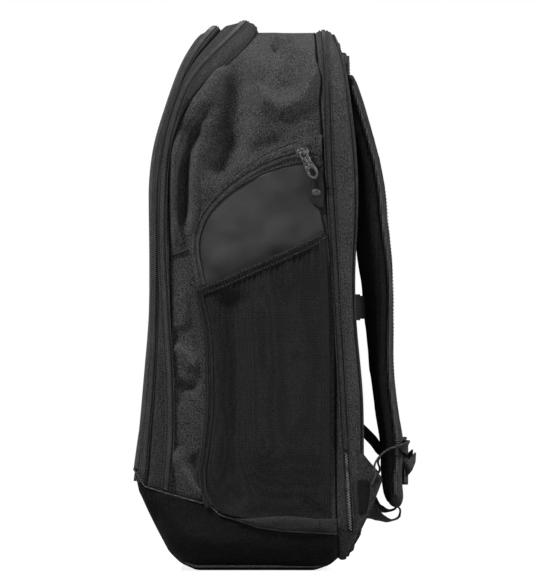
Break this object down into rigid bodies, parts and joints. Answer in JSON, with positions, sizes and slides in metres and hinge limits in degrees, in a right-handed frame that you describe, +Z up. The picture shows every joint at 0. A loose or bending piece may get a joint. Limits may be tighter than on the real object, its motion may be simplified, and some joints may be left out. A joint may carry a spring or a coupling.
{
  "type": "racket backpack",
  "caption": "Upright backpack for rackets and kit with rounded zip bands, side zip and mesh pockets, a racket compartment at the back and padded shoulder straps.",
  "frame": {"origin": "middle of the base's resting face", "axes": "+X to the side with the label, +Y towards the shoulder straps, +Z up"},
  "size_m": [0.343, 0.2702, 0.5198],
  "materials": {
    "heather_fabric": "heathered polyester weave",
    "band_fabric": "fine polyester weave",
    "boot_fabric": "black fine weave, lightly coated",
    "pocket_mesh": "stretch knit mesh",
    "hem_elastic": "gathered elastic binding",
    "coated_fabric": "smooth satin coated fabric",
    "zip_coil": "nylon zip coil on tape",
    "slider_metal": "black lacquered zinc",
    "puller_metal": "black lacquered zinc",
    "lining": "plain lining",
    "stiffener_sheet": "polyethylene sheet",
    "spacer_mesh": "air mesh over foam",
    "strap_fabric": "padded strap, mesh lined",
    "moulded_plastic": "moulded acetal",
    "label": "blank woven label",
    "webbing": "ribbed webbing"
  },
  "bodies": {
    "bag": {"back_pads": "spacer_mesh", "back_panel": "spacer_mesh", "base_board": "stiffener_sheet", "base_boot": "boot_fabric", "compartment_divider": "lining", "frame_sheet": "stiffener_sheet", "front_coil": "zip_coil", "front_panel": "band_fabric", "front_pocket_wall": "lining", "front_zip_band": "band_fabric", "handle_anchors": "webbing", "laptop_sleeve": "lining", "lower_webbing": "webbing", "lumbar_pad": "spacer_mesh", "main_coil": "zip_coil", "main_gusset": "heather_fabric", "main_zip_band": "band_fabric", "mesh_pocket_left": "pocket_mesh", "mesh_pocket_right": "pocket_mesh", "pocket_binding_left": "heather_fabric", "pocket_binding_right": "heather_fabric", "pocket_hem_left": "hem_elastic", "pocket_hem_right": "hem_elastic", "racket_band": "heather_fabric", "racket_coil": "zip_coil", "side_zip_left": "zip_coil", "side_zip_right": "zip_coil", "smooth_panel_left": "coated_fabric", "smooth_panel_right": "coated_fabric", "strap_anchors": "webbing", "wing_label": "label", "wing_left": "heather_fabric", "wing_right": "heather_fabric", "zip_garages": "heather_fabric"},
    "strap_right": {"shoulder_strap_right": "strap_fabric", "ladder_lock_right": "moulded_plastic", "strap_webbing_right": "webbing"},
    "strap_left": {"shoulder_strap_left": "strap_fabric", "ladder_lock_left": "moulded_plastic", "strap_webbing_left": "webbing"},
    "sternum_strap": {"buckle_female": "moulded_plastic", "buckle_male": "moulded_plastic", "chest_webbing": "webbing", "rail_clip_left": "moulded_plastic", "rail_clip_right": "moulded_plastic"},
    "grab_handle": {"grab_handle": "webbing"},
    "side_slider_right": {"side_slider_right": "slider_metal"},
    "side_puller_right": {"side_puller_right": "puller_metal"},
    "side_slider_left": {"side_slider_left": "slider_metal"},
    "side_puller_left": {"side_puller_left": "puller_metal"},
    "main_upper_slider": {"main_upper_slider": "slider_metal"},
    "main_upper_puller": {"main_upper_puller": "puller_metal"},
    "main_lower_slider": {"main_lower_slider": "slider_metal"},
    "main_lower_puller": {"main_lower_puller": "puller_metal"},
    "front_slider": {"front_slider": "slider_metal"},
    "front_puller": {"front_puller": "puller_metal"},
    "racket_upper_slider": {"racket_upper_slider": "slider_metal"},
    "racket_upper_puller": {"racket_upper_puller": "puller_metal"},
    "racket_lower_slider": {"racket_lower_slider": "slider_metal"},
    "racket_lower_puller": {"racket_lower_puller": "puller_metal"}
  },
  "joints": [
    {"name": "strap_right_swing", "type": "hinge", "parent": "bag", "child": "strap_right", "pos_m": [0.072, 0.08, 0.478], "axis": [1, 0, 0], "range_deg": [0, 14]},
    {"name": "strap_left_swing", "type": "hinge", "parent": "bag", "child": "strap_left", "pos_m": [-0.072, 0.08, 0.478], "axis": [1, 0, 0], "range_deg": [0, 14]},
    {"name": "sternum_height", "type": "slide", "parent": "strap_right", "child": "sternum_strap", "axis": [0, 0, 1], "range_m": [-0.015, 0.025]},
    {"name": "grab_handle_swing", "type": "hinge", "parent": "bag", "child": "grab_handle", "pos_m": [0, 0.0818, 0.49], "axis": [1, 0, 0], "range_deg": [0, 140]},
    {"name": "side_zip_right", "type": "hinge", "parent": "bag", "child": "side_slider_right", "pos_m": [0.163, 0.064, 0.25], "axis": [1, 0, 0], "range_deg": [0, 44]},
    {"name": "side_puller_right_swing", "type": "hinge", "parent": "side_slider_right", "child": "side_puller_right", "pos_m": [0.169, 0.03847, 0.39477], "axis": [0, -0.891, -0.454], "range_deg": [0, 150]},
    {"name": "side_zip_left", "type": "hinge", "parent": "bag", "child": "side_slider_left", "pos_m": [-0.163, 0.064, 0.25], "axis": [1, 0, 0], "range_deg": [0, 44]},
    {"name": "side_puller_left_swing", "type": "hinge", "parent": "side_slider_left", "child": "side_puller_left", "pos_m": [-0.169, 0.03847, 0.39477], "axis": [0, 0.891, 0.454], "range_deg": [0, 150]},
    {"name": "main_upper_zip", "type": "slide", "parent": "bag", "child": "main_upper_slider", "axis": [0, 0, -1], "range_m": [-0.06, 0]},
    {"name": "main_upper_puller_swing", "type": "hinge", "parent": "main_upper_slider", "child": "main_upper_puller", "pos_m": [-0.1692, -0.094, 0.3], "axis": [0, 1, 0], "range_deg": [0, 150]},
    {"name": "main_lower_zip", "type": "slide", "parent": "bag", "child": "main_lower_slider", "axis": [0, 0, -1], "range_m": [0, 0.16]},
    {"name": "main_lower_puller_swing", "type": "hinge", "parent": "main_lower_slider", "child": "main_lower_puller", "pos_m": [-0.1692, -0.094, 0.264], "axis": [0, 1, 0], "range_deg": [0, 150]},
    {"name": "front_zip", "type": "slide", "parent": "bag", "child": "front_slider", "axis": [0, -0.0147, -0.9999], "range_m": [-0.02, 0.115]},
    {"name": "front_puller_swing", "type": "hinge", "parent": "front_slider", "child": "front_puller", "pos_m": [-0.1677, -0.1015, 0.33], "axis": [0, 1, 0], "range_deg": [0, 150]},
    {"name": "racket_upper_zip", "type": "slide", "parent": "bag", "child": "racket_upper_slider", "axis": [0, 0.0577, -0.9983], "range_m": [-0.065, 0]},
    {"name": "racket_upper_puller_swing", "type": "hinge", "parent": "racket_upper_slider", "child": "racket_upper_puller", "pos_m": [-0.1672, 0.0687, 0.3], "axis": [0, 1, 0], "range_deg": [0, 150]},
    {"name": "racket_lower_zip", "type": "slide", "parent": "bag", "child": "racket_lower_slider", "axis": [0, 0.0577, -0.9983], "range_m": [0, 0.15]},
    {"name": "racket_lower_puller_swing", "type": "hinge", "parent": "racket_lower_slider", "child": "racket_lower_puller", "pos_m": [-0.1672, 0.0708, 0.264], "axis": [0, 1, 0], "range_deg": [0, 150]}
  ],
  "couplings": [
    {"joint": "strap_left_swing", "follows": "strap_right_swing", "ratio": 1}
  ]
}
